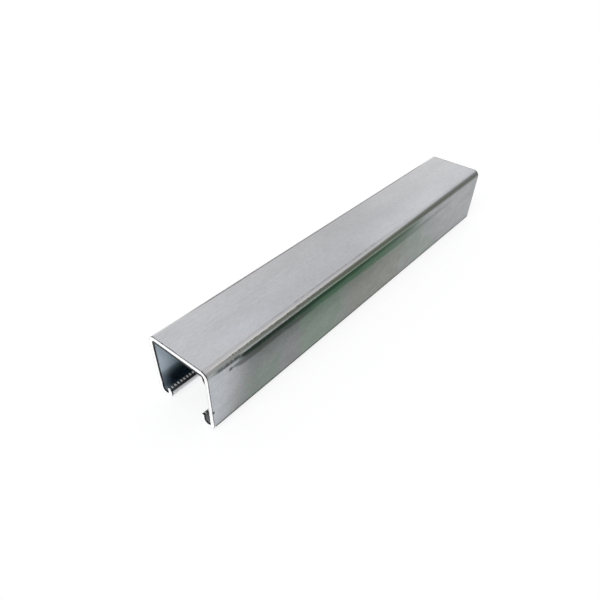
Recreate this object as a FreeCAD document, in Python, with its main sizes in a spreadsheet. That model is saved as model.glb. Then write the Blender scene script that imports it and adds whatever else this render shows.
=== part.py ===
# Strut channel: one cold-rolled steel section with a web, two walls and two inturned, toothed lips.
# It lies web up on the curled roots of its lips. Millimetres, +Y along the section, +Z up,
# origin at mid-length, midway between the walls, on the plane that the section lies on.
import FreeCAD
import Part
import Sketcher
import math
import os

Vector = FreeCAD.Vector

# Driving dimensions: name, size, what it is
SIZES = [
    ("length", 275.0, "saw cut to saw cut"),
    ("channel_width", 41.3, "over the outsides of the walls"),
    ("channel_height", 41.3, "from the curled lips to the top of the web"),
    ("sheet_thickness", 2.5, "strip that the section is rolled from"),
    ("lip_width", 9.5, "from the outside of a wall to the slot side of its lip"),
    ("lip_depth", 7.5, "from the curled edge to the toothed tip"),
    ("web_bend_inside", 2.0, "inside radius between web and wall"),
    ("lip_bend_inside", 2.0, "inside radius of both bends of a lip"),
    ("tip_bevel_width", 0.9, "bevel on the slot side of a lip's tip, across"),
    ("tip_bevel_height", 1.9, "bevel on the slot side of a lip's tip, down"),
    ("tooth_pitch", 2.0, "from one notch to the next along a lip"),
    ("notch_width", 1.6, "V notch between two teeth, at the tip"),
    ("notch_depth", 0.9, "V notch between two teeth, from the tip"),
    ("first_notch", 1.2, "from the cut end to the bottom of the first notch"),
    ("notch_overrun", 0.5, "how far the notch tool runs past each face of a lip"),
]
SIZE = {name: value for name, value, meaning in SIZES}

# Sketch references: the points of an edge by their index, the sketch's own axes and its origin
EDGE_POINTS = ("whole edge", "start", "end", "centre")
START = EDGE_POINTS.index("start")
END = EDGE_POINTS.index("end")
CENTRE = EDGE_POINTS.index("centre")
SKETCH_AXIS = {"horizontal": -1, "vertical": -2}
ORIGIN = (SKETCH_AXIS["horizontal"], START)


def make_size_sheet(doc):
    """The spreadsheet that drives every dimension."""
    sheet = doc.addObject("Spreadsheet::Sheet", "Sizes")
    for row, (name, value, meaning) in enumerate(SIZES, start=1):
        sheet.set("A%d" % row, name)
        sheet.set("B%d" % row, str(value))
        sheet.set("C%d" % row, meaning)
        sheet.setAlias("B%d" % row, name)
    doc.recompute()
    return sheet


def origin_plane(body, role):
    """One of the body's own origin planes, by its role."""
    for feature in body.Origin.OriginFeatures:
        if feature.Role == role:
            return feature
    raise ValueError("no origin plane " + role)


def new_sketch(body, name, role):
    """A sketch on one of the body's origin planes."""
    sketch = body.newObject("Sketcher::SketchObject", name)
    sketch.AttachmentSupport = [(origin_plane(body, role), "")]
    sketch.MapMode = "FlatFace"
    return sketch


def bind(sketch, kind, where, name, expression):
    """A dimension of the sketch, tied to the sheet."""
    index = sketch.addConstraint(Sketcher.Constraint(kind, *where))
    sketch.renameConstraint(index, name)
    sketch.setExpression("Constraints." + name, expression)


def line(x1, z1, x2, z2):
    return Part.LineSegment(Vector(x1, z1, 0), Vector(x2, z2, 0))


def quarter(x, z, radius, from_degrees):
    """Quarter circle about (x, z), anticlockwise from the given direction."""
    circle = Part.Circle(Vector(x, z, 0), Vector(0, 0, 1), radius)
    begin = math.radians(from_degrees)
    return Part.ArcOfCircle(circle, begin, begin + math.pi / 2)


def draw_half_section(sketch):
    """Half of the rolled section, right of the middle of the web.

    The outline goes round the outside from the middle of the web down the wall and round the lip
    to its tip, and comes back along the inside.
    """
    half = SIZE["channel_width"] / 2
    top = SIZE["channel_height"]
    slot = half - SIZE["lip_width"]
    tip = SIZE["lip_depth"]
    sheet = SIZE["sheet_thickness"]
    web_in = SIZE["web_bend_inside"]
    web_out = web_in + sheet
    lip_in = SIZE["lip_bend_inside"]
    lip_out = lip_in + sheet
    bevel = SIZE["tip_bevel_width"]
    bevel_foot = tip - SIZE["tip_bevel_height"]

    edges = [
        ("web_top", line(0, top, half - web_out, top)),
        ("web_bend_outer", quarter(half - web_out, top - web_out, web_out, 0)),
        ("wall_outer", line(half, top - web_out, half, lip_out)),
        ("heel_outer", quarter(half - lip_out, lip_out, lip_out, 270)),
        ("foot_outer", line(half - lip_out, 0, slot + lip_out, 0)),
        ("curl_outer", quarter(slot + lip_out, lip_out, lip_out, 180)),
        ("lip_face", line(slot, lip_out, slot, bevel_foot)),
        ("tip_bevel", line(slot, bevel_foot, slot + bevel, tip)),
        ("tip_top", line(slot + bevel, tip, slot + sheet, tip)),
        ("lip_back", line(slot + sheet, tip, slot + sheet, lip_out)),
        ("curl_inner", quarter(slot + lip_out, lip_out, lip_in, 180)),
        ("foot_inner", line(slot + lip_out, sheet, half - lip_out, sheet)),
        ("heel_inner", quarter(half - lip_out, lip_out, lip_in, 270)),
        ("wall_inner", line(half - sheet, lip_out, half - sheet, top - web_out)),
        ("web_bend_inner", quarter(half - web_out, top - web_out, web_in, 0)),
        ("web_under", line(half - web_out, top - sheet, 0, top - sheet)),
        ("middle", line(0, top - sheet, 0, top)),
    ]
    number = {name: sketch.addGeometry(shape, False) for name, shape in edges}

    def join(kind, first, first_end, second, second_end):
        sketch.addConstraint(
            Sketcher.Constraint(kind, number[first], first_end, number[second], second_end))

    # Every quarter circle runs anticlockwise, so the way round enters the outside of a bend at its
    # end and leaves it at its start, and comes back through the inside from its start to its end
    join("Tangent", "web_top", END, "web_bend_outer", END)
    join("Tangent", "web_bend_outer", START, "wall_outer", START)
    join("Tangent", "wall_outer", END, "heel_outer", END)
    join("Tangent", "heel_outer", START, "foot_outer", START)
    join("Tangent", "foot_outer", END, "curl_outer", END)
    join("Tangent", "curl_outer", START, "lip_face", START)
    join("Coincident", "lip_face", END, "tip_bevel", START)
    join("Coincident", "tip_bevel", END, "tip_top", START)
    join("Coincident", "tip_top", END, "lip_back", START)
    join("Tangent", "lip_back", END, "curl_inner", START)
    join("Tangent", "curl_inner", END, "foot_inner", START)
    join("Tangent", "foot_inner", END, "heel_inner", START)
    join("Tangent", "heel_inner", END, "wall_inner", START)
    join("Tangent", "wall_inner", END, "web_bend_inner", START)
    join("Tangent", "web_bend_inner", END, "web_under", START)
    join("Coincident", "web_under", END, "middle", START)
    join("Coincident", "middle", END, "web_top", START)

    # The sheet keeps its thickness round every bend
    for bend in ("web_bend", "heel", "curl"):
        join("Coincident", bend + "_outer", CENTRE, bend + "_inner", CENTRE)
    for level in ("web_top", "web_under", "foot_outer", "tip_top"):
        sketch.addConstraint(Sketcher.Constraint("Horizontal", number[level]))
    for upright in ("wall_outer", "lip_face", "lip_back"):
        sketch.addConstraint(Sketcher.Constraint("Vertical", number[upright]))
    for edge, point, axis in (("middle", START, "vertical"), ("middle", END, "vertical"),
                              ("foot_outer", START, "horizontal")):
        sketch.addConstraint(
            Sketcher.Constraint("PointOnObject", number[edge], point, SKETCH_AXIS[axis]))

    outer = "Sizes.%s + Sizes.sheet_thickness"
    bind(sketch, "DistanceY", (*ORIGIN, number["web_top"], START, top),
         "height", "Sizes.channel_height")
    bind(sketch, "DistanceX", (*ORIGIN, number["wall_outer"], START, half),
         "half_width", "Sizes.channel_width / 2")
    bind(sketch, "DistanceX", (number["lip_face"], END, number["wall_outer"], START, half - slot),
         "lip_width", "Sizes.lip_width")
    bind(sketch, "DistanceY", (*ORIGIN, number["tip_top"], END, tip),
         "tip_height", "Sizes.lip_depth")
    bind(sketch, "DistanceX", (number["tip_bevel"], START, number["tip_bevel"], END, bevel),
         "bevel_across", "Sizes.tip_bevel_width")
    bind(sketch, "DistanceY", (number["tip_bevel"], START, number["tip_bevel"], END,
                               tip - bevel_foot),
         "bevel_down", "Sizes.tip_bevel_height")
    bind(sketch, "Radius", (number["web_bend_inner"], web_in),
         "web_bend_inside", "Sizes.web_bend_inside")
    bind(sketch, "Radius", (number["web_bend_outer"], web_out),
         "web_bend_outside", outer % "web_bend_inside")
    for bend in ("heel", "curl"):
        bind(sketch, "Radius", (number[bend + "_inner"], lip_in),
             bend + "_inside", "Sizes.lip_bend_inside")
        bind(sketch, "Radius", (number[bend + "_outer"], lip_out),
             bend + "_outside", outer % "lip_bend_inside")


def draw_notch(sketch):
    """V between two teeth, seen along +X, at the first place from the cut end."""
    bottom_y = SIZE["first_notch"] - SIZE["length"] / 2
    bottom_z = SIZE["lip_depth"] - SIZE["notch_depth"]
    half = SIZE["notch_width"] / 2
    rise = SIZE["notch_depth"]

    flank_down = sketch.addGeometry(line(bottom_y - half, bottom_z + rise, bottom_y, bottom_z), False)
    flank_up = sketch.addGeometry(line(bottom_y, bottom_z, bottom_y + half, bottom_z + rise), False)
    mouth = sketch.addGeometry(
        line(bottom_y + half, bottom_z + rise, bottom_y - half, bottom_z + rise), False)
    for first, second in ((flank_down, flank_up), (flank_up, mouth), (mouth, flank_down)):
        sketch.addConstraint(Sketcher.Constraint("Coincident", first, END, second, START))
    sketch.addConstraint(Sketcher.Constraint("Horizontal", mouth))
    sketch.addConstraint(Sketcher.Constraint("Equal", flank_down, flank_up))
    bind(sketch, "DistanceX", (flank_down, END, *ORIGIN, -bottom_y),
         "from_middle", "Sizes.length / 2 - Sizes.first_notch")
    bind(sketch, "DistanceX", (flank_down, START, flank_up, END, 2 * half),
         "width", "Sizes.notch_width")
    bind(sketch, "DistanceY", (*ORIGIN, flank_down, START, bottom_z + rise),
         "tip_height", "Sizes.lip_depth")
    bind(sketch, "DistanceY", (flank_up, START, flank_up, END, rise),
         "depth", "Sizes.notch_depth")


def make_strut_channel(doc):
    """Rolled section: half of it is drawn and padded, its lip is notched, and then it is mirrored."""
    body = doc.addObject("PartDesign::Body", "StrutChannel")
    body.Label = "strut_channel"

    section = new_sketch(body, "HalfSection", "XZ_Plane")
    draw_half_section(section)
    rolled = body.newObject("PartDesign::Pad", "RolledHalf")
    rolled.Profile = section
    rolled.SideType = "Symmetric"
    rolled.setExpression("Length", "Sizes.length")
    doc.recompute()

    # The notch tool stands in the middle of the lip's tip and runs past both of its faces
    tooth_gap = new_sketch(body, "Notch", "YZ_Plane")
    draw_notch(tooth_gap)
    tooth_gap.setExpression(
        ".AttachmentOffset.Base.z",
        "Sizes.channel_width / 2 - Sizes.lip_width + Sizes.sheet_thickness / 2")
    notch = body.newObject("PartDesign::Pocket", "FirstNotch")
    notch.Profile = tooth_gap
    notch.SideType = "Symmetric"
    notch.setExpression("Length", "Sizes.sheet_thickness + 2 * Sizes.notch_overrun")
    doc.recompute()

    teeth = body.newObject("PartDesign::LinearPattern", "Teeth")
    teeth.Originals = [notch]
    teeth.Direction = (tooth_gap, ["H_Axis"])
    teeth.Mode = "Spacing"
    teeth.setExpression("Offset", "Sizes.tooth_pitch")
    teeth.setExpression(
        "Occurrences", "floor((Sizes.length - Sizes.first_notch) / Sizes.tooth_pitch) + 1")
    body.Tip = teeth
    doc.recompute()

    whole = body.newObject("PartDesign::Mirrored", "WholeSection")
    whole.TransformMode = "Whole shape"
    whole.MirrorPlane = (origin_plane(body, "YZ_Plane"), [""])
    body.Tip = whole
    doc.recompute()
    return body


def check_document(doc):
    """Stop if any object of the document failed."""
    for item in doc.Objects:
        if "Invalid" in item.State or "Error" in item.State:
            raise RuntimeError("%s failed: %s" % (item.Label, item.State))


def write_step(body):
    """Check the finished solid and write it under its label."""
    shape = body.Shape
    if shape.isNull() or not shape.isValid() or len(shape.Solids) != 1:
        raise RuntimeError(body.Label + " is not one valid solid")
    os.makedirs("parts", exist_ok=True)
    shape.exportStep(os.path.join("parts", body.Label + ".step"))
    box = shape.BoundBox
    print("%s: %.1f x %.1f x %.1f mm, %.0f mm3, %d faces"
          % (body.Label, box.XLength, box.YLength, box.ZLength, shape.Volume, len(shape.Faces)))


document = FreeCAD.newDocument("StrutChannel")
make_size_sheet(document)
channel = make_strut_channel(document)
document.recompute()
check_document(document)
write_step(channel)
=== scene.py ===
import bmesh
import bpy
import math
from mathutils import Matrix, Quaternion, Vector


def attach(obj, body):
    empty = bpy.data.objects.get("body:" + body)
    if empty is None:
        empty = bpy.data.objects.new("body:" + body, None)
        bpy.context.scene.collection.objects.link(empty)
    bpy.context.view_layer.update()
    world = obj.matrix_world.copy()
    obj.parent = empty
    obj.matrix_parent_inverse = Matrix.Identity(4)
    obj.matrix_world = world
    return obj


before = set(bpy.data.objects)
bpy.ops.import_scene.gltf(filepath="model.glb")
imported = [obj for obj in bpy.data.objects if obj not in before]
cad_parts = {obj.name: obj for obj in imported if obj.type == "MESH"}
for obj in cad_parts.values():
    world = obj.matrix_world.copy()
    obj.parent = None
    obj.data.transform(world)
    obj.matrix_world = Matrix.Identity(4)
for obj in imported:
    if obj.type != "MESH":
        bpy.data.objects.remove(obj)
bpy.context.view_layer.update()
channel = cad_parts["strut_channel"]

MM = 0.001

# The section's sizes, as in the part's source
HALF_LENGTH = 137.5 * MM
HALF_WIDTH = 20.65 * MM
HEIGHT = 41.3 * MM
SHEET = 2.5 * MM
BEND_OUTSIDE = 4.5 * MM
BEND_INSIDE = BEND_OUTSIDE - SHEET
LIP_WIDTH = 9.5 * MM
LIP_DEPTH = 7.5 * MM

# Both sides of a lip's upright tip, measured from the middle of the section
LIP_FACE = HALF_WIDTH - LIP_WIDTH
LIP_BACK = LIP_FACE + SHEET

# The burr along the inside of the web at the near cut. Its feet are sunk in the metal, its tip stands out
BURR_REACH = 1.00 * MM
BURR_UNEVENNESS = 0.60 * MM
BURR_DEPTH = 0.52 * MM
BURR_ROOT = 0.05 * MM
BURR_LEAST = 0.02 * MM
BURR_INSET = 0.08 * MM
BURR_PROUD = 0.06 * MM
BURR_RINGS = 62
BURR_SEED = 3.0
BEND_STEPS = 8
RIGHT_FOOT = 33.8 * MM
LEFT_FOOT = 33.0 * MM

# The flakes outside the near cut: the height of the right wall's one, and the places across of the web's two
WALL_FLAKE = 14.4 * MM
WEB_FLAKES = (-10.2 * MM, -4.9 * MM)
FLAKE_DEPTH = 0.75 * MM
FLAKE_PROUD = 0.20 * MM
FLAKE_SHOULDER = 0.30 * MM

# The plate's colours
ZINC_BRIGHT = (0.597, 0.598, 0.612, 1.0)
ZINC_DULL = (0.552, 0.554, 0.568, 1.0)
ZINC_LINE = (0.450, 0.455, 0.470, 1.0)
# Pale scratches on the web, and a painted reflection on the lips' slot sides
PALE_SCRATCH_AND_SHEEN = (0.680, 0.680, 0.690, 1.0)
ZINC_COOL = (0.980, 0.998, 1.020, 1.0)
ZINC_WARM = (0.435, 0.388, 0.362, 1.0)
# A painted highlight on the right bend
PAINTED_HIGHLIGHT = (0.650, 0.620, 0.590, 1.0)
ZINC_INSIDE = (0.52, 0.60, 0.67, 1.0)
# Painted shade inside, and the plainer grey painted in the pocket behind the right lip
INSIDE_SHADE = (0.045, 0.105, 0.15, 1.0)
POCKET_GREY = (0.52, 0.52, 0.51, 1.0)
# A brighter painted highlight within it
PAINTED_GLEAM = (0.82, 0.79, 0.74, 1.0)
# The rollers' dark line on the right bend, and a painted dark reflection on the left bend
ROLLER_LINE_AND_REFLECTION = (0.10, 0.09, 0.10, 1.0)
# The painted dark reflection band on the bends: its speckled top edge, then its colours
BAND_EDGE_DARK = (0.07, 0.07, 0.04, 1.0)
BEND_OLIVE = (0.29, 0.30, 0.24, 1.0)
BEND_GREEN = (0.20, 0.25, 0.19, 1.0)
BEND_GREY = (0.222, 0.222, 0.222, 1.0)
# Painted reflection tints on the right wall
REFLECTED_BLUE = (0.545, 0.580, 0.598, 1.0)
REFLECTED_GREEN = (0.42, 0.54, 0.435, 1.0)
REFLECTED_MAUVE = (0.49, 0.46, 0.50, 1.0)
REFLECTED_STRAW = (0.52, 0.50, 0.44, 1.0)

# The painted dark reflection's colours: the dark streak, and the fainter band under it
REFLECTION_DARK = (0.055, 0.085, 0.070, 1.0)
REFLECTION_GREEN = (0.075, 0.190, 0.110, 1.0)
REFLECTION_GREY = (0.17, 0.18, 0.19, 1.0)
LOWER_REFLECTION_GREY = (0.085, 0.095, 0.092, 1.0)
LOWER_REFLECTION_GREEN = (0.115, 0.305, 0.165, 1.0)
LOWER_REFLECTION_PALE = (0.180, 0.260, 0.200, 1.0)

# Bare, cut and torn steel
WORN_STEEL = (0.34, 0.34, 0.33, 1.0)
CUT_GREY = (0.86, 0.86, 0.87, 1.0)
CUT_WHITE = (0.95, 0.95, 0.95, 1.0)
CUT_RIM = (0.30, 0.30, 0.31, 1.0)
BURR_SHADE = (0.03, 0.03, 0.03, 1.0)
BURR_PALE = (0.74, 0.74, 0.74, 1.0)
TORN_STEEL = (0.06, 0.06, 0.06, 1.0)

# How rough each surface is, how far it is matt instead of metallic, and how deep the rolling marks are
PLATE_ROUGHNESS = (0.24, 0.25)
INSIDE_ROUGHNESS = 0.34
WORN_ROUGHNESS = 0.42
CUT_ROUGHNESS = 0.55
TORN_ROUGHNESS = 0.5
WORN_MATT = 0.80
CUT_MATT = 0.55
INSIDE_MATT = (0.35, 0.60)
MARK_DEPTH = 0.02 * MM
MARK_STRENGTH = 0.12

# Noises of the plate: grains a metre across the section and along it, detail, and the place in the noise
ROLL_LINES = (2600.0, 9.0, 4.0, (0.0, 0.0, 0.0))
FINE_LINES = (7000.0, 40.0, 2.0, (3.1, 0.4, 7.7))
CLOUD = (55.0, 22.0, 3.0, (0.7, 2.2, 1.3))
BLOTCH = (260.0, 90.0, 3.0, (5.2, 1.9, 0.6))
SPECKLE = (1900.0, 900.0, 1.0, (4.4, 6.1, 2.7))
SHORT_MARKS = (1500.0, 42.0, 2.0, (6.3, 3.1, 0.9))
DASHES = (700.0, 190.0, 2.0, (5.5, 7.3, 1.2))
BARS = (260.0, 1000.0, 2.0, (1.7, 4.2, 3.3))
WEB_GRAIN = (1300.0, 300.0, 3.0, (2.9, 8.8, 5.1))
WALL_GRAIN = (1000.0, 800.0, 2.0, (6.6, 2.1, 9.4))
MOTTLE = (190.0, 100.0, 2.0, (9.1, 0.3, 6.6))
STRIPES = (60.0, 330.0, 2.0, (7.7, 2.4, 8.1))

# The saw's lines on the cut: their turn in the cut's plane, and grains a metre
SAW_TURN = 62.0
SAW_GRAINS = (9000.0, 200.0, 350.0)

# The dark spot of the painted reflection on the right wall, and the dark spot beside the flake, both at the
# near end
SPECK_PLACE = (HALF_WIDTH, -123.2 * MM, 34.7 * MM)
FLAKE_SPOT_ALONG = -136.55 * MM
FLAKE_SPOT_FLATNESS = 2.2

# The studio's colours
FLOOR_WHITE = (0.97, 0.97, 0.97, 1.0)
WHITE = (1.0, 1.0, 1.0, 1.0)
SKY_DIM = (0.46, 0.47, 0.48, 1.0)
SKY_PALE = (0.825, 0.830, 0.840, 1.0)
SKY_BRIGHT = (0.98, 0.98, 0.98, 1.0)
GROUND_GREY = (0.42, 0.44, 0.43, 1.0)
GROUND_DARK = (0.20, 0.24, 0.21, 1.0)
GROUND_PALE = (0.58, 0.59, 0.59, 1.0)
GROUND_FRONT = (0.82, 0.83, 0.86, 1.0)
GROUND_FOOT = (0.12, 0.12, 0.12, 1.0)
SIDE_OLIVE = (0.27, 0.29, 0.24, 1.0)
SIDE_GREY = (0.31, 0.315, 0.31, 1.0)
SIDE_PALE = (0.60, 0.61, 0.60, 1.0)
SLOT_DIM = (0.32, 0.33, 0.34, 1.0)
SLOT_BRIGHT = (2.40, 2.45, 2.50, 1.0)
SLOT_DARK = (0.03, 0.05, 0.06, 1.0)
SLOT_EDGE = (0.78, 0.78, 0.77, 1.0)

# The studio's sizes and places in metres, and the floor's own share of white
FLOOR_REACH = 6.0
FLOOR_GAP = 0.02 * MM
FLOOR_GLOW = 0.80
SKY_SIDE = (-0.45, 0.89, 0.0)
GROUND_CORNERS = [(0.0198, -0.135, 0.0002), (0.170, -0.135, 0.0002),
                  (0.260, 0.400, 0.0002), (0.0198, 0.400, 0.0002)]
SIDE_CORNERS = [(0.380, -0.146, 0.004), (0.020, 0.850, 0.0), (0.020, 0.850, 0.330), (0.380, -0.146, 0.360)]
SLOT_CARD_SIDE = 11.1 * MM
SLOT_CARD_END = 137.3 * MM
SLOT_CARD_HEIGHT = 0.3 * MM


def mm(*lengths):
    """Those millimetres in the scene's metres."""
    return [length * MM for length in lengths]


# Small helpers for the node trees

def new_tree(owner):
    """The empty node tree of a material or a world."""
    owner.use_nodes = True
    tree = owner.node_tree
    tree.nodes.clear()
    return tree


def put(tree, kind, inputs=(), **settings):
    """A node of that kind, with its settings and its inputs, each a plain value or a socket."""
    made = tree.nodes.new(kind)
    for name, value in settings.items():
        setattr(made, name, value)
    for name, value in dict(inputs).items():
        if isinstance(value, bpy.types.NodeSocket):
            tree.links.new(value, made.inputs[name])
        else:
            made.inputs[name].default_value = value
    return made


def calc(tree, operation, first, *others):
    """The result of a Math node, or of a row of them where there are more than two values."""
    for other in others or (0.0,):
        first = put(tree, "ShaderNodeMath", {0: first, 1: other}, operation=operation).outputs[0]
    return first


def product(tree, *values):
    """All these values multiplied together."""
    return calc(tree, "MULTIPLY", *values)


def largest(tree, *values):
    """The largest of these values."""
    return calc(tree, "MAXIMUM", *values)


def fade(tree, value, low, high, start=0.0, end=1.0):
    """A smooth step from start, where value is low, to end, where it is high."""
    return put(tree, "ShaderNodeMapRange",
               {"Value": value, "From Min": low, "From Max": high, "To Min": start, "To Max": end},
               interpolation_type="SMOOTHSTEP").outputs[0]


def band(tree, value, rise_from, rise_to, fall_from, fall_to):
    """A soft band, 1 between rise_to and fall_from, and 0 outside rise_from and fall_to."""
    return product(tree, fade(tree, value, rise_from, rise_to), fade(tree, value, fall_to, fall_from))


def off(tree, value, middle):
    """How far a value is from a middle one, either way."""
    return calc(tree, "ABSOLUTE", calc(tree, "SUBTRACT", value, middle))


def shifted(tree, value, noise, span):
    """That value moved to and fro by a noise, so that a mark set out on it has an uneven edge."""
    return calc(tree, "ADD", value, product(tree, noise, span))


def blend(tree, share, under, over, kind="MIX"):
    """One colour over another, by that share."""
    return put(tree, "ShaderNodeMix", {0: share, 6: under, 7: over},
               data_type="RGBA", blend_type=kind).outputs[2]


def streaks(tree, place, across, along, detail, offset):
    """Noise with so many grains a metre across the section and along it."""
    drawn = put(tree, "ShaderNodeMapping",
                {"Vector": place, "Location": offset, "Scale": (across, along, across)})
    return put(tree, "ShaderNodeTexNoise",
               {"Vector": drawn.outputs[0], "Scale": 1.0, "Detail": detail, "Roughness": 0.55}).outputs[0]


# The plate: each function below lays its marks over the colour that it is given. A mark's place is in
# millimetres across, along or up the section, or in degrees round the outer bend. The last number of a
# mark's product, where it has one, is how strongly the mark covers what is under it

class Surface:
    """Where a point of the section lies, and the noises that more than one mark reads, as sockets."""

    def __init__(self, tree):
        self.place = put(tree, "ShaderNodeTexCoord").outputs["Object"]
        parts = put(tree, "ShaderNodeSeparateXYZ", {0: self.place}).outputs
        self.across, self.along, self.height = parts[0], parts[1], parts[2]
        self.wide = calc(tree, "ABSOLUTE", self.across)
        self.from_end = calc(tree, "SUBTRACT", HALF_LENGTH, calc(tree, "ABSOLUTE", self.along))

        # Each of these is 1 on its part of the surface and 0 elsewhere: the cut ends, the web's outside, the
        # right half, the right wall's outside, the inside of the channel, and all but that inside
        self.cut_end = calc(tree, "LESS_THAN", self.from_end, 0.04 * MM)
        self.web = fade(tree, self.height, *mm(40.6, 41.2))
        self.right_side = calc(tree, "GREATER_THAN", self.across, 0.0)
        self.right_wall = fade(tree, self.across, *mm(19.3, 19.6))
        self.inside = product(tree, fade(tree, self.wide, *mm(18.9, 18.6)),
                              fade(tree, self.height, *mm(39.6, 39.3)))
        self.outside = calc(tree, "SUBTRACT", 1.0, self.inside)

        # Noises between 0 and 1, then two that are even about 0, then the saw's lines
        self.roll_lines = streaks(tree, self.place, *ROLL_LINES)
        self.cloud = streaks(tree, self.place, *CLOUD)
        self.speckle = streaks(tree, self.place, *SPECKLE)
        self.mottle = calc(tree, "SUBTRACT", streaks(tree, self.place, *MOTTLE), 0.5)
        self.ragged = calc(tree, "SUBTRACT", streaks(tree, self.place, *BLOTCH), 0.5)
        self.saw_lines = put(tree, "ShaderNodeMapping",
                             {"Vector": self.place, "Rotation": (0.0, math.radians(SAW_TURN), 0.0),
                              "Scale": SAW_GRAINS}).outputs[0]
        self.saw_lines = put(tree, "ShaderNodeTexNoise",
                             {"Vector": self.saw_lines, "Scale": 1.0, "Detail": 3.0}).outputs[0]

        # The angle round the outer bend in degrees, below 0 on the web and above 90 on the wall, then that
        # angle and the place along, each with an uneven edge
        self.true_angle = calc(tree, "ARCTAN2",
                               calc(tree, "SUBTRACT", self.wide, HALF_WIDTH - BEND_OUTSIDE),
                               calc(tree, "SUBTRACT", self.height, HEIGHT - BEND_OUTSIDE))
        self.true_angle = product(tree, self.true_angle, 180.0 / math.pi)
        self.angle = shifted(tree, self.true_angle, self.ragged, 4.0)
        self.drift = shifted(tree, self.along, self.mottle, 60.0 * MM)


def plate_tone_and_painted_light(tree, at):
    """The plate itself: cloudy, and on the web painted lighter at the front and the right and painted darker
    at mid-length.
    """
    zinc = blend(tree, fade(tree, at.cloud, 0.35, 0.70), ZINC_DULL, ZINC_BRIGHT)
    # Painted light on the web: lighter at the front and the right, darker at mid-length
    front = fade(tree, at.along, *mm(-75.0, -120.0), 0.0, 0.09)
    middle = product(tree, band(tree, at.along, *mm(-95.0, 0.0, 20.0, 75.0)), 0.11)
    back_right = product(tree, fade(tree, at.across, *mm(0.0, 13.0)),
                         band(tree, at.along, *mm(-15.0, 15.0, 60.0, 110.0)), 0.10)
    front_right = product(tree, fade(tree, at.across, *mm(-3.0, 9.0)),
                          fade(tree, at.along, *mm(-108.0, -128.0)), 0.035)
    tone = calc(tree, "SUBTRACT", calc(tree, "ADD", 1.0, front), middle)
    tone = calc(tree, "ADD", tone, back_right, front_right)
    return blend(tree, at.web, zinc, tone, "MULTIPLY")


def web_marks(tree, at, zinc):
    """Fine roll lines, and on the web short scratches, some dark and some pale, grain and a cooler side."""
    lined = product(tree, fade(tree, at.roll_lines, 0.45, 0.75, 0.0, 0.12),
                    fade(tree, at.web, 0.0, 1.0, 0.20, 1.0))
    zinc = blend(tree, lined, zinc, ZINC_LINE)

    short_marks = streaks(tree, at.place, *SHORT_MARKS)
    scratched = product(tree, at.web, band(tree, at.across, *mm(-10.0, -5.0, 1.0, 6.0)),
                        band(tree, at.along, *mm(-134.0, -118.0, -70.0, 20.0)))
    dark = product(tree, fade(tree, short_marks, 0.55, 0.68), scratched, 0.24)
    zinc = blend(tree, dark, zinc, ZINC_LINE)
    pale = product(tree, fade(tree, short_marks, 0.45, 0.33), scratched, 0.26)
    zinc = blend(tree, pale, zinc, PALE_SCRATCH_AND_SHEEN)

    grain = fade(tree, streaks(tree, at.place, *WEB_GRAIN), 0.32, 0.68, 0.954, 1.038)
    zinc = blend(tree, at.web, zinc, grain, "MULTIPLY")
    cool = product(tree, at.web, fade(tree, at.across, *mm(-10.0, 8.0)),
                   fade(tree, at.cloud, 0.35, 0.60, 0.5, 1.0),
                   fade(tree, at.along, *mm(130.0, 0.0), 0.45, 1.0),
                   fade(tree, at.along, *mm(-136.0, -112.0), 0.25, 1.0))
    return blend(tree, cool, zinc, ZINC_COOL, "MULTIPLY")


def bend_highlights_and_roller_line(tree, at, zinc):
    """Beside the right bend: a warm darker band, a pale painted highlight with a brighter painted gleam in
    it, and the rollers' thin dark line.
    """
    warm = product(tree, band(tree, at.angle, 2.0, 7.0, 16.0, 22.0), at.right_side,
                   fade(tree, at.along, *mm(40.0, 0.0), 0.10), 0.35)
    zinc = blend(tree, warm, zinc, ZINC_WARM)
    # A pale painted highlight on the bend, and a brighter painted gleam within it
    pale_highlight = product(tree, band(tree, at.angle, 23.0, 29.0, 34.0, 39.0), at.right_side,
                        fade(tree, at.along, *mm(90.0, -40.0)), 0.60)
    zinc = blend(tree, pale_highlight, zinc, PAINTED_HIGHLIGHT)
    gleam = product(tree, band(tree, at.angle, 27.0, 30.0, 34.0, 37.0), at.right_side, at.outside,
                    band(tree, at.along, *mm(-137.0, -132.0, -105.0, -45.0)), 0.78)
    zinc = blend(tree, gleam, zinc, PAINTED_GLEAM)
    thin_line = product(tree, fade(tree, off(tree, at.true_angle, 7.5), 2.4, 1.0),
                        at.right_side, at.outside,
                        band(tree, at.along, *mm(-112.0, -72.0, -12.0, 22.0)),
                        fade(tree, streaks(tree, at.place, *DASHES), 0.44, 0.60, 0.15), 0.82)
    return blend(tree, thin_line, zinc, ROLLER_LINE_AND_REFLECTION)


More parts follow.
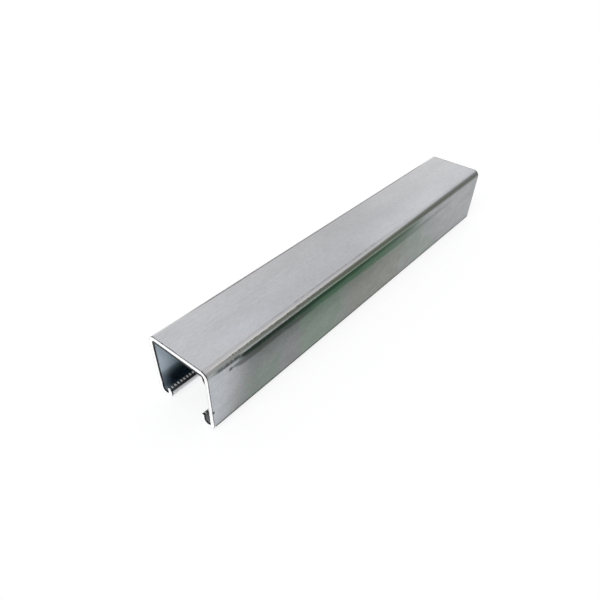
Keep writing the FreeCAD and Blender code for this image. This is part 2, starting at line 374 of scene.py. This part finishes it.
def bend_reflection_band(tree, at, zinc):
    """The painted dark reflection band on both bends: thin, sharp and olive near the front end, wide and
    grey at the back.
    """
    back = fade(tree, at.along, *mm(10.0, 95.0))
    wider = fade(tree, at.along, *mm(-60.0, -15.0))
    start = calc(tree, "ADD", 38.0, product(tree, wider, 1.4))
    begins = fade(tree, at.angle, calc(tree, "SUBTRACT", start, product(tree, back, 7.0)),
                  calc(tree, "ADD", start, calc(tree, "ADD", 5.5, product(tree, back, 13.0))))
    widening = calc(tree, "ADD", product(tree, wider, 13.5), product(tree, back, 11.0))
    ends = fade(tree, at.angle, calc(tree, "ADD", 60.0, widening), calc(tree, "ADD", 53.5, widening))
    fainter = fade(tree, at.along, *mm(-136.0, -104.0), 0.12)
    strength = calc(tree, "SUBTRACT", 0.59, product(tree, back, 0.16))
    colour = blend(tree, fade(tree, at.angle, 42.0, 52.0), BEND_OLIVE, BEND_GREEN)
    colour = blend(tree, back, colour, BEND_GREY)
    zinc = blend(tree, product(tree, begins, ends, fainter, at.outside, strength), zinc, colour)

    # A speckled dark line painted at the band's top edge in its front half, and a painted dark reflection on
    # the left bend
    band_edge = product(tree, fade(tree, off(tree, at.true_angle, 39.5), 4.2, 2.0), at.outside,
                     fade(tree, at.speckle, 0.44, 0.60),
                     band(tree, at.along, *mm(-135.0, -118.0, -75.0, -10.0)), 0.92)
    zinc = blend(tree, band_edge, zinc, BAND_EDGE_DARK)
    left_reflection = product(tree, fade(tree, at.across, *mm(0.0, -1.0)), at.outside,
                        band(tree, at.true_angle, 8.0, 16.0, 54.0, 62.0),
                        band(tree, at.along, *mm(-125.0, -95.0, 100.0, 132.0)),
                        fade(tree, at.speckle, 0.35, 0.55, 0.6), 0.95)
    return blend(tree, left_reflection, zinc, ROLLER_LINE_AND_REFLECTION)


def wall_reflection_tints(tree, at, zinc):
    """The right wall's painted reflection tints: blue at the front edge, mauve and green patches, straw,
    then green again.
    """
    wall = product(tree, at.right_wall, fade(tree, at.height, *mm(39.2, 38.2)))
    near_drift = shifted(tree, at.along, at.mottle, 26.0 * MM)
    slanted = calc(tree, "ADD", at.drift, calc(tree, "SUBTRACT", at.height, 18.0 * MM))

    # Painted reflection tints on the right wall
    blue = product(tree, wall, fade(tree, at.along, *mm(-124.0, -134.0)), 0.6)
    zinc = blend(tree, blue, zinc, REFLECTED_BLUE)
    mauve = product(tree, wall, band(tree, near_drift, *mm(-124.0, -108.0, -74.0, -66.0)), 0.52)
    zinc = blend(tree, mauve, zinc, REFLECTED_MAUVE)
    straw = product(tree, wall, band(tree, at.drift, *mm(-36.0, -22.0, 24.0, 44.0)), 0.62)
    zinc = blend(tree, straw, zinc, REFLECTED_STRAW)
    front_green = product(tree, band(tree, near_drift, *mm(-120.0, -109.0, -92.0, -82.0)),
                          fade(tree, at.height, *mm(28.0, 14.0)), 0.80)
    middle_green = band(tree, near_drift, *mm(-77.0, -67.0, -42.0, -26.0))
    back_green = product(tree, band(tree, slanted, *mm(26.0, 44.0, 62.0, 80.0)), 0.60)
    green = largest(tree, front_green, middle_green, back_green)
    zinc = blend(tree, product(tree, wall, green, 0.66), zinc, REFLECTED_GREEN)

    zinc = blend(tree, wall, zinc, fade(tree, at.mottle, -0.20, 0.20, 0.95, 1.05), "MULTIPLY")
    grain = fade(tree, streaks(tree, at.place, *WALL_GRAIN), 0.32, 0.68, 0.950, 1.050)
    return blend(tree, wall, zinc, grain, "MULTIPLY")


def painted_dark_reflection(tree, at, zinc):
    """The painted dark reflection under the right bend: a streak, with the marks that belong to it."""
    low = shifted(tree, at.height, at.ragged, 2.1 * MM)
    begun = shifted(tree, at.along, at.ragged, 15.0 * MM)
    top_edge = fade(tree, at.height, *mm(38.3, 37.65))
    started = fade(tree, begun, *mm(-117.5, -114.5))

    # A fainter painted reflection under the streak, grey at first, then green and paler green
    foot = fade(tree, at.along, *mm(-50.0, 20.0, 32.0, 30.7))
    foot = fade(tree, low, calc(tree, "SUBTRACT", foot, 1.5 * MM), calc(tree, "ADD", foot, 0.9 * MM))
    slope = product(tree, calc(tree, "SUBTRACT", 34.7 * MM, low), 2.6)
    lower_band = product(tree, at.right_wall, foot, top_edge,
                   largest(tree, started, fade(tree, low, *mm(35.6, 34.9))),
                   fade(tree, calc(tree, "SUBTRACT", at.along, slope), *mm(-126.0, -122.0)),
                   fade(tree, at.along, *mm(64.0, 30.0)),
                   fade(tree, at.drift, *mm(-86.0, -62.0), 0.64, 0.74))
    lower_band_colour = blend(tree, fade(tree, at.along, *mm(0.0, 36.0)), LOWER_REFLECTION_GREEN, LOWER_REFLECTION_PALE)
    lower_band_colour = blend(tree, fade(tree, at.drift, *mm(-92.0, -46.0)), LOWER_REFLECTION_GREY, lower_band_colour)
    zinc = blend(tree, lower_band, zinc, lower_band_colour)

    # The streak, a painted dark reflection, greener and then fainter towards the back
    streak = product(tree, at.right_wall, fade(tree, low, *mm(34.4, 36.2)), top_edge,
                     started, fade(tree, at.along, *mm(66.0, 22.0)),
                     fade(tree, at.along, *mm(-20.0, 15.0), 0.97, 0.88))
    greener = largest(tree, fade(tree, at.along, *mm(-95.0, -25.0)),
                      fade(tree, streaks(tree, at.place, *STRIPES), 0.48, 0.62, 0.0, 0.45))
    reflected_colour = blend(tree, greener, REFLECTION_DARK, REFLECTION_GREEN)
    reflected_colour = blend(tree, fade(tree, at.along, *mm(0.0, 40.0), 0.0, 0.6), reflected_colour, REFLECTION_GREY)
    zinc = blend(tree, streak, zinc, reflected_colour)

    # The painted reflection's smear on the bend in front of the streak, the streak's faint tail, and the
    # dark spot near the front end
    smear = product(tree, at.right_wall,
                    band(tree, shifted(tree, at.true_angle, at.ragged, 10.0), 57.0, 62.0, 82.0, 91.0),
                    band(tree, at.along, *mm(-134.5, -129.0, -117.5, -114.0)),
                    fade(tree, streaks(tree, at.place, *BARS), 0.38, 0.56, 0.66), 0.92)
    zinc = blend(tree, smear, zinc, REFLECTION_GREY)
    tail = product(tree, at.right_wall, band(tree, low, *mm(30.6, 31.8, 33.2, 34.5)),
                   band(tree, at.along, *mm(36.0, 56.0, 75.0, 108.0)), 0.34)
    zinc = blend(tree, tail, zinc, REFLECTION_GREY)
    speck = put(tree, "ShaderNodeVectorMath", {0: at.place, 1: SPECK_PLACE},
                operation="DISTANCE").outputs["Value"]
    speck = shifted(tree, speck, at.ragged, 3.0 * MM)
    return blend(tree, fade(tree, speck, *mm(1.7, 0.6), 0.0, 0.85), zinc, LOWER_REFLECTION_GREY)


def inside_tint_and_painted_shade(tree, at, zinc):
    """The inside: bluer, with painted shade low down away from the ends, and on the lips tips painted dark
    and slot sides painted pale, as reflections.
    """
    # The lips' slot sides painted pale and their tips painted dark, as reflections
    slot_side = product(tree, fade(tree, at.wide, LIP_FACE + 0.4 * MM, LIP_FACE + 0.2 * MM),
                        fade(tree, at.height, LIP_DEPTH - 1.8 * MM, LIP_DEPTH - 2.0 * MM))
    blue = product(tree, at.inside, calc(tree, "SUBTRACT", 1.0, slot_side), 0.95)
    zinc = blend(tree, blue, zinc, ZINC_INSIDE)
    tips = product(tree, at.inside, fade(tree, at.height, LIP_DEPTH - 2.0 * MM, LIP_DEPTH - 1.8 * MM),
                   fade(tree, at.height, LIP_DEPTH + 1.0 * MM, LIP_DEPTH + 0.5 * MM),
                   fade(tree, at.wide, LIP_BACK + 0.3 * MM, LIP_BACK), 0.90)
    zinc = blend(tree, tips, zinc, BURR_SHADE)
    zinc = blend(tree, slot_side, zinc, PALE_SCRATCH_AND_SHEEN)
    # Painted shade low down inside, stronger away from the ends
    shaded_low = product(tree, at.inside, fade(tree, at.wide, LIP_BACK + 1.0 * MM, LIP_BACK + 2.0 * MM),
                   fade(tree, at.height, *mm(16.4, 13.2)),
                   fade(tree, at.from_end, *mm(0.0, 9.0), 0.35, 0.60))
    zinc = blend(tree, shaded_low, zinc, INSIDE_SHADE)

    # The pocket behind the right lip is painted a plainer grey, with less painted shade on it
    pocket = product(tree, at.inside, at.right_side, fade(tree, at.height, *mm(11.0, 9.0)),
                     fade(tree, at.wide, LIP_BACK - 0.2 * MM, LIP_BACK), 0.80)
    return blend(tree, pocket, zinc, POCKET_GREY)


def dark_cut_edges(tree, at, zinc):
    """The plate darker beside the saw cuts, and a dark spot beside the flake on the right wall."""
    near_cut = shifted(tree, at.from_end, at.ragged, 0.5 * MM)
    all_round = product(tree, fade(tree, near_cut, *mm(0.58, 0.28)), 0.82)
    within = product(tree, fade(tree, near_cut, *mm(1.05, 0.65)), at.inside, 0.95)
    on_bends = product(tree, fade(tree, near_cut, *mm(0.85, 0.45)),
                       band(tree, at.angle, 2.0, 10.0, 60.0, 80.0), 0.9)
    flake_spot = put(tree, "ShaderNodeMapping",
               {"Vector": at.place, "Location": (-HALF_WIDTH, -FLAKE_SPOT_FLATNESS * FLAKE_SPOT_ALONG, -WALL_FLAKE),
                "Scale": (1.0, FLAKE_SPOT_FLATNESS, 1.0)}).outputs[0]
    flake_spot = put(tree, "ShaderNodeVectorMath", {0: flake_spot}, operation="LENGTH").outputs["Value"]
    flake_spot = fade(tree, flake_spot, *mm(1.25, 0.75), 0.0, 0.9)
    return blend(tree, largest(tree, all_round, within, on_bends, flake_spot), zinc, BURR_SHADE)


def worn_tips(tree, at):
    """How far the teeth are worn bare, which is at their tips only."""
    return product(tree, fade(tree, at.height, LIP_DEPTH - 0.75 * MM, LIP_DEPTH - 0.40 * MM),
                   fade(tree, at.height, LIP_DEPTH + 0.6 * MM, LIP_DEPTH + 0.3 * MM),
                   band(tree, at.wide, LIP_FACE + 0.55 * MM, LIP_FACE + 0.85 * MM,
                        LIP_BACK - 0.70 * MM, LIP_BACK - 0.30 * MM))


def saw_cut(tree, at):
    """Bare saw-cut steel, grey along its outer rim, and with the burr's line along its inner faces."""
    steel = blend(tree, fade(tree, at.saw_lines, 0.3, 0.7), CUT_GREY, CUT_WHITE)

    # A point's distance out from the square of the bends' centres: BEND_OUTSIDE all along the outline, and
    # BEND_INSIDE all along the web's and the walls' inner faces
    side = calc(tree, "SUBTRACT", at.wide, HALF_WIDTH - BEND_OUTSIDE)
    side = largest(tree, side, 0.0)
    rise = calc(tree, "SUBTRACT", off(tree, at.height, HEIGHT / 2.0), HEIGHT / 2.0 - BEND_OUTSIDE)
    rise = largest(tree, rise, 0.0)
    reach = calc(tree, "SQRT", calc(tree, "ADD", product(tree, side, side), product(tree, rise, rise)))
    rim = fade(tree, reach, BEND_OUTSIDE - 0.32 * MM, BEND_OUTSIDE - 0.10 * MM, 0.0, 0.60)
    steel = blend(tree, rim, steel, CUT_RIM)

    # The burr's line along the inner faces: dark, and paler and wider low on the right wall
    lower = product(tree, at.right_side, fade(tree, at.height, *mm(35.0, 33.0)))
    burr_line = calc(tree, "ADD", BEND_INSIDE + 0.28 * MM, product(tree, lower, 0.72 * MM))
    burred = product(tree, fade(tree, reach, calc(tree, "ADD", burr_line, 0.15 * MM),
                                calc(tree, "SUBTRACT", burr_line, 0.15 * MM)),
                     fade(tree, at.height, *mm(10.0, 14.0)))
    return blend(tree, burred, steel, blend(tree, lower, BURR_SHADE, BURR_PALE))


def bright_zinc():
    """Bright zinc plate on rolled strip, with bare saw-cut ends."""
    material = bpy.data.materials.new("bright_zinc_plate")
    tree = new_tree(material)
    at = Surface(tree)

    zinc = plate_tone_and_painted_light(tree, at)
    for lay in (web_marks, bend_highlights_and_roller_line, bend_reflection_band, wall_reflection_tints, painted_dark_reflection, inside_tint_and_painted_shade, dark_cut_edges):
        zinc = lay(tree, at, zinc)
    worn = worn_tips(tree, at)
    zinc = blend(tree, worn, zinc, WORN_STEEL)
    colour = blend(tree, at.cut_end, zinc, saw_cut(tree, at))

    roughness = largest(tree, fade(tree, at.roll_lines, 0.3, 0.7, *PLATE_ROUGHNESS),
                        product(tree, at.cut_end, CUT_ROUGHNESS), product(tree, worn, WORN_ROUGHNESS),
                        product(tree, at.inside, INSIDE_ROUGHNESS))
    dulled = product(tree, at.inside, fade(tree, at.from_end, *mm(7.5, 0.5)),
                     fade(tree, at.height, *mm(14.0, 24.0), *INSIDE_MATT))
    matt = largest(tree, product(tree, at.cut_end, CUT_MATT), product(tree, worn, WORN_MATT), dulled)

    # The rolling marks, softer on the right wall, and the saw's lines on the cut
    fine_lines = streaks(tree, at.place, *FINE_LINES)
    relief = calc(tree, "ADD", product(tree, at.roll_lines, 0.6), product(tree, fine_lines, 0.4))
    relief = product(tree, relief, calc(tree, "SUBTRACT", 1.0, at.cut_end),
                     fade(tree, at.right_wall, 0.0, 1.0, 1.0, 0.45))
    relief = calc(tree, "ADD", relief, product(tree, at.saw_lines, at.cut_end))
    bump = put(tree, "ShaderNodeBump",
               {"Height": relief, "Strength": MARK_STRENGTH, "Distance": MARK_DEPTH})

    shader = put(tree, "ShaderNodeBsdfPrincipled",
                 {"Base Color": colour, "Roughness": roughness, "Normal": bump.outputs[0],
                  "Metallic": calc(tree, "SUBTRACT", 1.0, matt), "Specular IOR Level": 0.0})
    put(tree, "ShaderNodeOutputMaterial", {"Surface": shader.outputs[0]})
    return material


def torn_burr():
    """Torn steel at the saw cut."""
    material = bpy.data.materials.new("torn_burr")
    tree = new_tree(material)
    shader = put(tree, "ShaderNodeBsdfPrincipled",
                 {"Base Color": TORN_STEEL, "Roughness": TORN_ROUGHNESS, "Metallic": 1.0})
    put(tree, "ShaderNodeOutputMaterial", {"Surface": shader.outputs[0]})
    return material


channel.material_slots[0].material = bright_zinc()


# Burrs left by the saw at the near cut: a torn edge round the inside of the web, and three flakes outside

def burr_tree():
    """Geometry Nodes that raise a closed, uneven burr along an edge of the cut, towards its inner side."""
    tree = bpy.data.node_groups.new("burr_along_edge", "GeometryNodeTree")
    tree.interface.new_socket("Edge", in_out="INPUT", socket_type="NodeSocketGeometry")
    for name in ("Bend", "Reach", "Unevenness", "Depth", "Seed"):
        tree.interface.new_socket(name, in_out="INPUT", socket_type="NodeSocketFloat")
    tree.interface.new_socket("Rings", in_out="INPUT", socket_type="NodeSocketInt")
    tree.interface.new_socket("Metal", in_out="INPUT", socket_type="NodeSocketMaterial")
    tree.interface.new_socket("Burr", in_out="OUTPUT", socket_type="NodeSocketGeometry")
    given = put(tree, "NodeGroupInput").outputs
    edge = put(tree, "GeometryNodeMeshToCurve", {"Mesh": given["Edge"]}).outputs[0]
    edge = put(tree, "GeometryNodeFilletCurve",
               {"Curve": edge, "Radius": given["Bend"], "Count": BEND_STEPS}, mode="POLY").outputs[0]

    # A straight bar of three sides and one unit long: one corner is the burr's tip, two are its feet
    bar = put(tree, "GeometryNodeCurvePrimitiveLine", {"End": (1.0, 0.0, 0.0)}).outputs[0]
    bar = put(tree, "GeometryNodeResampleCurve", {"Curve": bar, "Count": given["Rings"]}).outputs[0]
    sides = put(tree, "GeometryNodeCurvePrimitiveCircle", {"Resolution": 3, "Radius": 1.0}).outputs[0]
    bar = put(tree, "GeometryNodeCurveToMesh",
              {"Curve": bar, "Profile Curve": sides, "Fill Caps": True}).outputs[0]
    corner = put(tree, "GeometryNodeInputPosition").outputs[0]
    corner = put(tree, "ShaderNodeSeparateXYZ", {0: corner}).outputs
    share = corner[0]
    tip = calc(tree, "LESS_THAN", corner[1], 0.0)
    foot = calc(tree, "SUBTRACT", 1.0, tip)
    back_foot = calc(tree, "GREATER_THAN", corner[2], 0.5)

    # Each ring of the bar goes to its place along the edge, its tip out over the edge by an uneven reach
    on_edge = put(tree, "GeometryNodeSampleCurve", {"Curves": edge, "Factor": share}).outputs
    inner_side = put(tree, "ShaderNodeVectorMath", {0: on_edge["Tangent"], 1: (0.0, 1.0, 0.0)},
                     operation="CROSS_PRODUCT").outputs[0]
    wave = calc(tree, "ADD", product(tree, share, given["Rings"], 0.35), given["Seed"])
    wave = put(tree, "ShaderNodeTexNoise", {"W": wave, "Scale": 1.0, "Detail": 1.0}, noise_dimensions="1D")
    uneven = product(tree, calc(tree, "SUBTRACT", wave.outputs[0], 0.5), given["Unevenness"])
    reach = product(tree, calc(tree, "ADD", given["Reach"], uneven),
                    band(tree, share, 0.0, 0.05, 0.95, 1.0))
    reach = calc(tree, "SUBTRACT", product(tree, calc(tree, "ADD", reach, BURR_LEAST), tip),
                 product(tree, foot, BURR_ROOT))
    inset = calc(tree, "ADD", product(tree, foot, BURR_INSET), product(tree, back_foot, given["Depth"]))
    inset = calc(tree, "SUBTRACT", inset, product(tree, tip, BURR_PROUD))
    raised = put(tree, "ShaderNodeVectorMath", {0: inner_side, 1: reach, 2: on_edge["Position"]},
                 operation="MULTIPLY_ADD").outputs[0]
    burr = put(tree, "GeometryNodeSetPosition",
               {"Geometry": bar, "Position": raised,
                "Offset": put(tree, "ShaderNodeCombineXYZ", {"Y": inset}).outputs[0]}).outputs[0]
    burr = put(tree, "GeometryNodeSetShadeSmooth", {"Geometry": burr, "Shade Smooth": False}).outputs[0]
    burr = put(tree, "GeometryNodeRealizeInstances", {"Geometry": burr}).outputs[0]
    burr = put(tree, "GeometryNodeSetMaterial", {"Geometry": burr, "Material": given["Metal"]}).outputs[0]
    put(tree, "NodeGroupOutput", {"Burr": burr})
    return tree


def edge_burr(corners, metal):
    """A plain mesh of the burr along the edge through those corners, each rounded by the inner bend."""
    edge = bpy.data.meshes.new("cut_edge")
    edge.from_pydata(corners, [(step, step + 1) for step in range(len(corners) - 1)], [])
    made = bpy.data.objects.new("cut_edge", edge)
    bpy.context.scene.collection.objects.link(made)
    modifier = made.modifiers.new("burr_along_edge", "NODES")
    modifier.node_group = burr_tree()
    sizes = {"Bend": BEND_INSIDE, "Reach": BURR_REACH, "Unevenness": BURR_UNEVENNESS, "Depth": BURR_DEPTH,
             "Seed": BURR_SEED, "Rings": BURR_RINGS, "Metal": metal}
    for socket in modifier.node_group.interface.items_tree:
        if socket.name in sizes:
            modifier[socket.identifier] = sizes[socket.name]
    burr = bpy.data.meshes.new_from_object(made.evaluated_get(bpy.context.evaluated_depsgraph_get()))
    bpy.data.objects.remove(made)
    return burr


def flake(edge, run, out, length, reach):
    """A closed flake on the cut: its middle, the edge's and the face's directions, and its size."""
    edge, run, out = Vector(edge), Vector(run), Vector(out)
    front = Vector((0.0, -1.0, 0.0))

    # Three corners in the metal, two along the edge and one behind them, then the tip and its shoulder
    root = edge - out * BURR_ROOT
    corners = [root - run * length * 0.5, root + run * length * 0.5, root - front * FLAKE_DEPTH,
               edge + run * length * 0.15 + out * reach + front * FLAKE_PROUD,
               edge - run * length * 0.25 + out * reach * 0.7 - front * FLAKE_SHOULDER]
    faces = [(0, 3, 1), (0, 4, 3), (1, 3, 2), (2, 3, 4), (0, 2, 4), (0, 1, 2)]
    mesh = bpy.data.meshes.new("flake")
    mesh.from_pydata([tuple(corner) for corner in corners], [], faces)
    return mesh


steel = torn_burr()
to_left, to_right, upward = (-1.0, 0.0, 0.0), (1.0, 0.0, 0.0), (0.0, 0.0, 1.0)
wall_line, web_line = HALF_WIDTH - SHEET, HEIGHT - SHEET
burr_shapes = [
    edge_burr([(wall_line, -HALF_LENGTH, RIGHT_FOOT), (wall_line, -HALF_LENGTH, web_line),
               (-wall_line, -HALF_LENGTH, web_line), (-wall_line, -HALF_LENGTH, LEFT_FOOT)], steel),
    flake((HALF_WIDTH, -HALF_LENGTH, WALL_FLAKE), upward, to_right, length=1.8 * MM, reach=0.6 * MM),
    flake((WEB_FLAKES[0], -HALF_LENGTH, HEIGHT), to_left, upward, length=1.2 * MM, reach=0.35 * MM),
    flake((WEB_FLAKES[1], -HALF_LENGTH, HEIGHT), to_left, upward, length=1.0 * MM, reach=0.30 * MM)]
joined = bmesh.new()
for shape in burr_shapes:
    joined.from_mesh(shape)
burr_mesh = bpy.data.meshes.new("saw_burrs")
joined.to_mesh(burr_mesh)
joined.free()
burr_mesh.materials.append(steel)
burrs = bpy.data.objects.new("saw_burrs", burr_mesh)
bpy.context.scene.collection.objects.link(burrs)
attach(burrs, "root")


# The studio: a white floor, a pale sky, one soft lamp, and three cards that only the part's gloss shows

def white_floor():
    """A white floor: mostly plain white to the camera and in a gloss, and otherwise as it is lit."""
    material = bpy.data.materials.new("white_floor")
    tree = new_tree(material)
    rays = put(tree, "ShaderNodeLightPath").outputs
    seen = largest(tree, rays["Is Camera Ray"], rays["Is Glossy Ray"], rays["Is Transmission Ray"])
    lit = put(tree, "ShaderNodeBsdfPrincipled",
              {"Base Color": FLOOR_WHITE, "Roughness": 0.9, "Specular IOR Level": 0.0})
    glow = put(tree, "ShaderNodeEmission", {"Color": WHITE, "Strength": 1.0})
    mixed = put(tree, "ShaderNodeMixShader",
                {0: product(tree, seen, FLOOR_GLOW), 1: lit.outputs[0], 2: glow.outputs[0]})
    put(tree, "ShaderNodeOutputMaterial", {"Surface": mixed.outputs[0]})
    return material


def pale_sky():
    """A sky that is dim on the side of the camera, brighter on the other one, and white at the horizon."""
    sky = bpy.data.worlds.new("pale_sky")
    tree = new_tree(sky)
    direction = put(tree, "ShaderNodeTexCoord").outputs["Generated"]
    toward = put(tree, "ShaderNodeVectorMath", {0: direction, 1: SKY_SIDE},
                 operation="DOT_PRODUCT").outputs["Value"]
    rise = put(tree, "ShaderNodeSeparateXYZ", {0: direction}).outputs[2]
    colour = blend(tree, fade(tree, toward, -0.35, 0.35), SKY_DIM, SKY_PALE)
    colour = blend(tree, fade(tree, toward, 0.70, 1.0), colour, SKY_BRIGHT)
    colour = blend(tree, fade(tree, rise, 0.34, 0.06), colour, WHITE)
    light = put(tree, "ShaderNodeBackground", {"Color": colour, "Strength": 1.0})
    put(tree, "ShaderNodeOutputWorld", {"Surface": light.outputs[0]})
    return sky


def soft_sun(name, bearing, height, spread, strength):
    """An even soft light from that bearing and height in degrees, as wide as spread degrees."""
    lamp = bpy.data.lights.new(name, "SUN")
    lamp.angle = math.radians(spread)
    lamp.energy = strength
    made = bpy.data.objects.new(name, lamp)
    made.rotation_mode = "QUATERNION"
    bearing, height = math.radians(bearing), math.radians(height)
    level = math.cos(height)
    source = Vector((math.sin(bearing) * level, -math.cos(bearing) * level, math.sin(height)))
    made.rotation_quaternion = (-source).to_track_quat("-Z", "Y")
    made.visible_glossy = False
    bpy.context.scene.collection.objects.link(made)


def level_corners(reach_across, reach_along, height):
    """The corners of a level rectangle over the origin, that far out across and along."""
    return [(-reach_across, -reach_along, height), (reach_across, -reach_along, height),
            (reach_across, reach_along, height), (-reach_across, reach_along, height)]


def flat_piece(name, corners, material):
    """A flat four-sided piece of the studio."""
    mesh = bpy.data.meshes.new(name)
    mesh.from_pydata(corners, [], [(0, 1, 2, 3)])
    mesh.materials.append(material)
    made = bpy.data.objects.new(name, mesh)
    bpy.context.scene.collection.objects.link(made)
    return made


def gloss_card(name, corners, tones):
    """A glowing card that only the part's gloss shows. Its colour is what tones makes in its tree."""
    material = bpy.data.materials.new(name)
    tree = new_tree(material)
    place = put(tree, "ShaderNodeTexCoord").outputs["Object"]
    place = put(tree, "ShaderNodeSeparateXYZ", {0: place}).outputs
    glow = put(tree, "ShaderNodeEmission", {"Color": tones(tree, place), "Strength": 1.0})
    put(tree, "ShaderNodeOutputMaterial", {"Surface": glow.outputs[0]})
    made = flat_piece(name, corners, material)
    made.visible_camera = False
    made.visible_diffuse = False
    made.visible_shadow = False
    made.visible_transmission = False


def ground_tones(tree, place):
    """Grey beside the wall, almost black at its foot, darker further out, and paler towards both ends."""
    tone = blend(tree, fade(tree, place[0], *mm(34.0, 46.0)), GROUND_GREY, GROUND_DARK)
    tone = blend(tree, fade(tree, place[1], *mm(0.0, 165.0)), tone, GROUND_PALE)
    beyond = calc(tree, "MINIMUM", calc(tree, "SUBTRACT", place[0], HALF_WIDTH), 27.0 * MM)
    near = calc(tree, "SUBTRACT", calc(tree, "ADD", place[1], 6.8 * MM), product(tree, beyond, 1.6))
    tone = blend(tree, fade(tree, near, *mm(-113.0, -141.0)), tone, GROUND_FRONT)
    return blend(tree, fade(tree, place[0], *mm(22.9, 21.9)), tone, GROUND_FOOT)


def side_tones(tree, place):
    """Olive grey, greyer towards its far end, and pale towards its near end and its top."""
    tone = blend(tree, fade(tree, place[1], 0.36, 0.54), SIDE_OLIVE, SIDE_GREY)
    tone = blend(tree, fade(tree, place[1], 0.17, -0.03), tone, SIDE_PALE)
    return blend(tree, fade(tree, place[2], 0.26, 0.36), tone, SIDE_PALE)


def slot_tones(tree, place):
    """Dark but for the ends, which are bright at the right, and for a pale strip under the left lip."""
    depth = calc(tree, "SUBTRACT", HALF_LENGTH, calc(tree, "ABSOLUTE", place[1]))
    ends = blend(tree, fade(tree, place[0], *mm(-9.0, 15.0)), SLOT_DIM, SLOT_BRIGHT)
    tone = blend(tree, fade(tree, depth, *mm(4.0, 27.0)), ends, SLOT_DARK)
    return blend(tree, fade(tree, place[0], *mm(-6.8, -7.8)), tone, SLOT_EDGE)


bpy.context.scene.world = pale_sky()
soft_sun("front_window", bearing=8.0, height=42.0, spread=34.0, strength=2.1)
flat_piece("studio_floor", level_corners(FLOOR_REACH, FLOOR_REACH, -FLOOR_GAP), white_floor())
gloss_card("ground_card", GROUND_CORNERS, ground_tones)
gloss_card("side_card", SIDE_CORNERS, side_tones)
gloss_card("slot_card", level_corners(SLOT_CARD_SIDE, SLOT_CARD_END, SLOT_CARD_HEIGHT), slot_tones)


# The camera, from the lines of the section in the photograph

CAMERA_PLACE = Vector((145.353, -229.311, 206.934)) * MM
CAMERA_TURN = 38.44
CAMERA_TILT = 43.52
CAMERA_ROLL = 1.94
FOCAL_PIXELS = 504.555
FRAME_PIXELS = 600.0
SHIFT_PIXELS = 40.0
SENSOR_WIDTH = 36.0

turn, tilt, roll = (math.radians(angle) for angle in (CAMERA_TURN, CAMERA_TILT, CAMERA_ROLL))
look = Vector((-math.sin(turn) * math.cos(tilt), math.cos(turn) * math.cos(tilt), -math.sin(tilt)))
lens = bpy.data.cameras.new("photo_camera")
lens.sensor_width = SENSOR_WIDTH
lens.lens = FOCAL_PIXELS / FRAME_PIXELS * SENSOR_WIDTH
lens.shift_y = SHIFT_PIXELS / FRAME_PIXELS
lens.clip_start = 0.01
lens.clip_end = 50.0
camera = bpy.data.objects.new("photo_camera", lens)
camera.location = CAMERA_PLACE
camera.rotation_mode = "QUATERNION"
camera.rotation_quaternion = look.to_track_quat("-Z", "Y") @ Quaternion((0.0, 0.0, 1.0), roll)
bpy.context.scene.collection.objects.link(camera)
bpy.context.scene.camera = camera
bpy.context.scene.view_settings.view_transform = "Standard"
